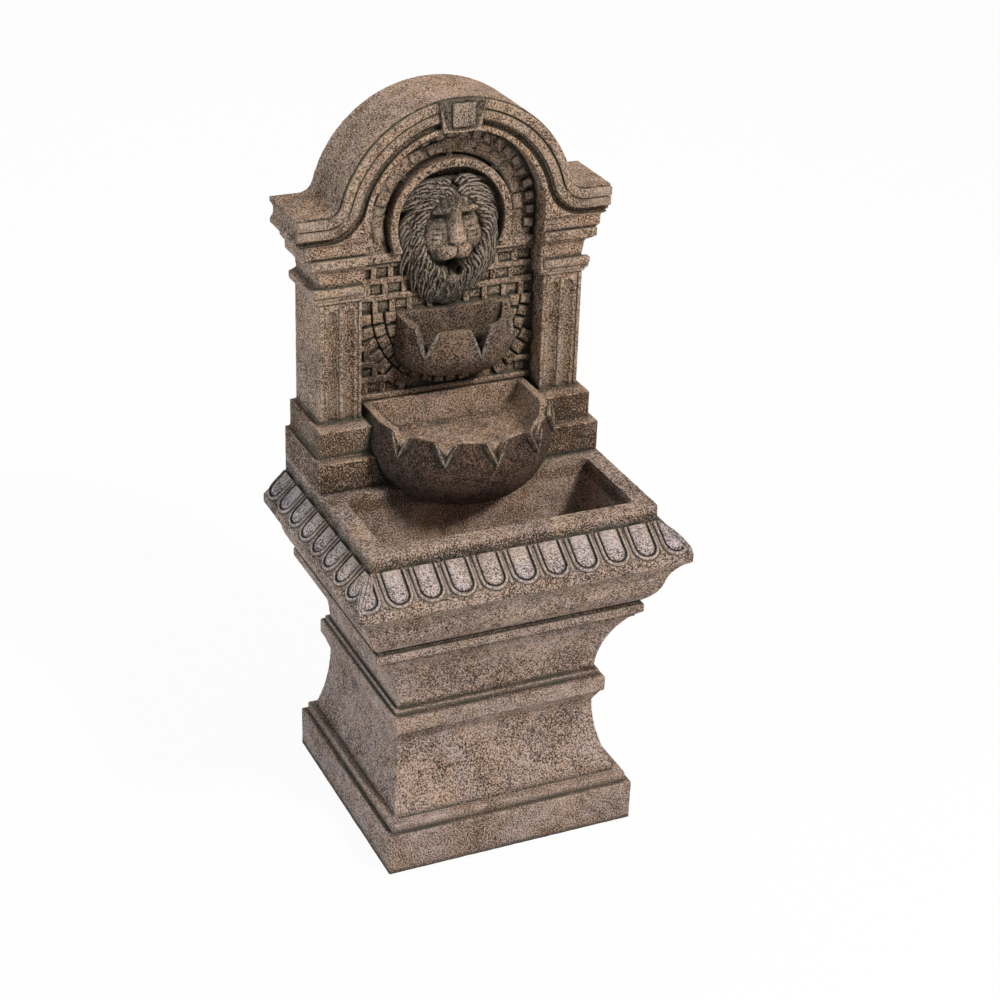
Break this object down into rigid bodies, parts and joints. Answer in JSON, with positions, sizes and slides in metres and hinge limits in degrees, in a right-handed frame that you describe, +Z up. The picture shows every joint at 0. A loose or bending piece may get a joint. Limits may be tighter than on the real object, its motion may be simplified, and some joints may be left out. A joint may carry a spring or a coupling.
{
  "type": "cascading fountain",
  "caption": "Free-standing cascading fountain: a lion-mask spout in an arched niche feeds notched bowls above a moulded basin on a hollow pedestal, with a hidden pump.",
  "frame": {"origin": "middle of the footprint, on the floor", "axes": "+Z up, +Y to the back, +X to the right as seen from the front"},
  "size_m": [0.3, 0.237, 0.63],
  "materials": {
    "cast_stone": "matte",
    "dark_cast_stone": "matte",
    "cover_board": "matte",
    "steel": "satin",
    "dowel_wood": "matte",
    "pump_plastic": "satin",
    "impeller_plastic": "gloss",
    "hose_plastic": "satin",
    "seal_rubber": "matte",
    "spout_brass": "satin",
    "ferrite": "satin",
    "bearing_ceramic": "polished",
    "core_steel": "satin",
    "coil_winding": "satin"
  },
  "bodies": {
    "base": {"pedestal": "cast_stone", "basin": "cast_stone", "wall_casing": "cast_stone", "niche_panel": "cast_stone", "lion_mask": "dark_cast_stone", "upper_bowl": "dark_cast_stone", "lower_bowl": "dark_cast_stone", "pedestal_bolts": "steel", "pedestal_washers": "steel", "panel_screws": "steel", "lower_bowl_screws": "steel", "upper_bowl_screws": "steel", "mask_screws": "steel", "hose_clamps": "steel", "wall_dowels": "dowel_wood", "pump_housing": "pump_plastic", "pump_back_plate": "pump_plastic", "volute_cover": "pump_plastic", "outlet_spigot": "pump_plastic", "hose_saddles": "impeller_plastic", "riser_hose": "hose_plastic", "suction_cups": "seal_rubber", "cable_grommet": "seal_rubber", "spout_elbow": "spout_brass", "spout_nut": "spout_brass", "impeller_shaft": "bearing_ceramic", "shaft_bushes": "bearing_ceramic", "stator_core": "core_steel", "stator_coil": "coil_winding"},
    "rotor": {"rotor_magnet": "ferrite", "impeller": "impeller_plastic"},
    "strainer": {"strainer_cover": "pump_plastic"},
    "slider": {"flow_slider": "impeller_plastic"},
    "cover": {"rear_cover": "cover_board", "rear_cover_screws": "steel"},
    "drain": {"drain_plug": "seal_rubber"}
  },
  "joints": [
    {"name": "impeller_spin", "type": "hinge", "parent": "base", "child": "rotor", "pos_m": [0, 0.084, 0.262], "axis": [1, 0, 0], "continuous": true},
    {"name": "strainer_pull", "type": "slide", "parent": "base", "child": "strainer", "axis": [1, 0, 0], "range_m": [0, 0.025]},
    {"name": "flow_adjust", "type": "slide", "parent": "strainer", "child": "slider", "axis": [0, 0, 1], "range_m": [-0.005, 0.005]},
    {"name": "rear_cover_off", "type": "slide", "parent": "base", "child": "cover", "axis": [0, 1, 0], "range_m": [0, 0.04]},
    {"name": "drain_plug_pull", "type": "slide", "parent": "base", "child": "drain", "axis": [0, 1, 0], "range_m": [0, 0.02]}
  ]
}
